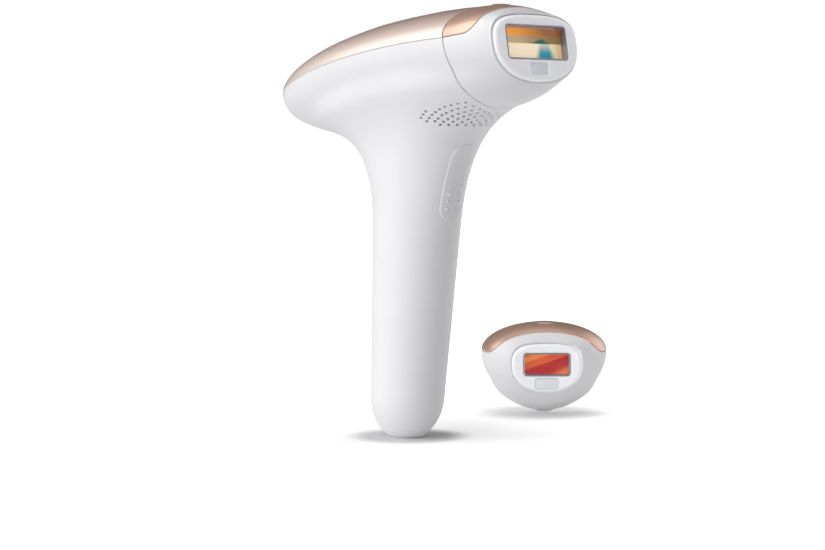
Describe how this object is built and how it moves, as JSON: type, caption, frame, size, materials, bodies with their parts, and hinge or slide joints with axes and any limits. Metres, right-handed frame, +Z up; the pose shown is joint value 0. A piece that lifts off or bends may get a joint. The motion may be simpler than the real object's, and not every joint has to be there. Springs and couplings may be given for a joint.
{
  "type": "ipl hair remover",
  "caption": "Handheld light-pulse hair remover: pistol-shaped shell with a long head, a fitted window attachment, a flash button, a fan and a loose precision attachment.",
  "frame": {"origin": "centre of the inlet mouth, in the flat at the bottom of the grip", "axes": "+Z up along the grip, -Y towards the treatment window, +X to the right of a user looking along +Y; symmetric about X = 0 apart from the loose attachment"},
  "size_m": [0.1699, 0.1732, 0.1988],
  "materials": {
    "white_shell": "glossy white moulded plastic",
    "rose_gold": "champagne rose-gold metallised plastic",
    "copper_trim": "coppery metallised plastic",
    "white_key": "satin white plastic",
    "light_pipe": "frosted clear light pipe",
    "bezel_grey": "pearl grey plastic",
    "window_steel": "polished steel frame",
    "amber_filter": "dichroic amber filter glass",
    "red_filter": "red filter glass",
    "sensor_glass": "frosted skin sensor window",
    "mirror_sleeve": "polished reflector",
    "dark_plastic": "black technical plastic",
    "grey_plastic": "grey technical plastic",
    "circuit_board": "green solder mask",
    "capacitor_sleeve": "black heat-shrink sleeve",
    "lamp_glass": "quartz tube",
    "lamp_metal": "nickel end cap",
    "filter_glass": "ultraviolet blocking glass",
    "screw_steel": "zinc plated steel",
    "contact_gold": "gold plated brass",
    "coil_copper": "enamelled copper winding"
  },
  "bodies": {
    "housing": {"main_housing": "white_shell", "top_cover": "rose_gold", "nose_frame": "grey_plastic", "intensity_lights": "light_pipe", "dc_socket": "dark_plastic", "main_capacitor": "capacitor_sleeve", "chassis": "grey_plastic", "main_board": "circuit_board", "button_board": "circuit_board", "board_posts": "grey_plastic", "flash_switch": "dark_plastic", "power_switch": "dark_plastic", "flash_lamp": "lamp_glass", "lamp_end_caps": "lamp_metal", "lamp_reflector": "mirror_sleeve", "lamp_filter": "filter_glass", "lamp_holder": "dark_plastic", "nose_screws": "screw_steel", "contact_pins": "contact_gold", "control_board": "circuit_board", "trigger_coil": "coil_copper", "fan_frame": "dark_plastic"},
    "flash_key": {"flash_button": "white_key"},
    "power_key": {"power_button": "white_key"},
    "fan": {"fan_rotor": "dark_plastic"},
    "attachment": {"attachment_shell": "white_shell", "attachment_trim": "copper_trim", "attachment_window_frame": "window_steel", "attachment_filter_glass": "amber_filter", "attachment_skin_sensor": "sensor_glass", "attachment_light_guide": "mirror_sleeve", "attachment_contacts": "contact_gold"},
    "contact_bezel": {"attachment_bezel": "bezel_grey"},
    "precision": {"precision_shell": "white_shell", "precision_trim": "copper_trim", "precision_window_frame": "window_steel", "precision_filter_glass": "red_filter", "precision_skin_sensor": "sensor_glass", "precision_light_guide": "mirror_sleeve", "precision_contacts": "contact_gold"},
    "precision_contact_bezel": {"precision_bezel": "bezel_grey"}
  },
  "joints": [
    {"name": "flash_press", "type": "slide", "parent": "housing", "child": "flash_key", "axis": [0, 1, 0], "range_m": [0, 0.0008], "stiffness_N_per_m": 2500},
    {"name": "power_press", "type": "slide", "parent": "housing", "child": "power_key", "axis": [0, -1, 0], "range_m": [0, 0.0005], "stiffness_N_per_m": 3000},
    {"name": "fan_spin", "type": "hinge", "parent": "housing", "child": "fan", "pos_m": [0, -0.019, 0.17565], "axis": [0, -0.9936, 0.1132], "continuous": true},
    {"name": "attachment_pull", "type": "slide", "parent": "housing", "child": "attachment", "axis": [0, -0.9936, 0.1132], "range_m": [0, 0.03]},
    {"name": "bezel_press", "type": "slide", "parent": "attachment", "child": "contact_bezel", "axis": [0, 0.9863, -0.165], "range_m": [0, 0.0008], "stiffness_N_per_m": 2500},
    {"name": "precision_lift", "type": "slide", "parent": "housing", "child": "precision", "axis": [0, 0, 1], "range_m": [0, 0.06]},
    {"name": "precision_bezel_press", "type": "slide", "parent": "precision", "child": "precision_contact_bezel", "axis": [0.6486, 0.7594, -0.0523], "range_m": [0, 0.0008], "stiffness_N_per_m": 2500}
  ]
}
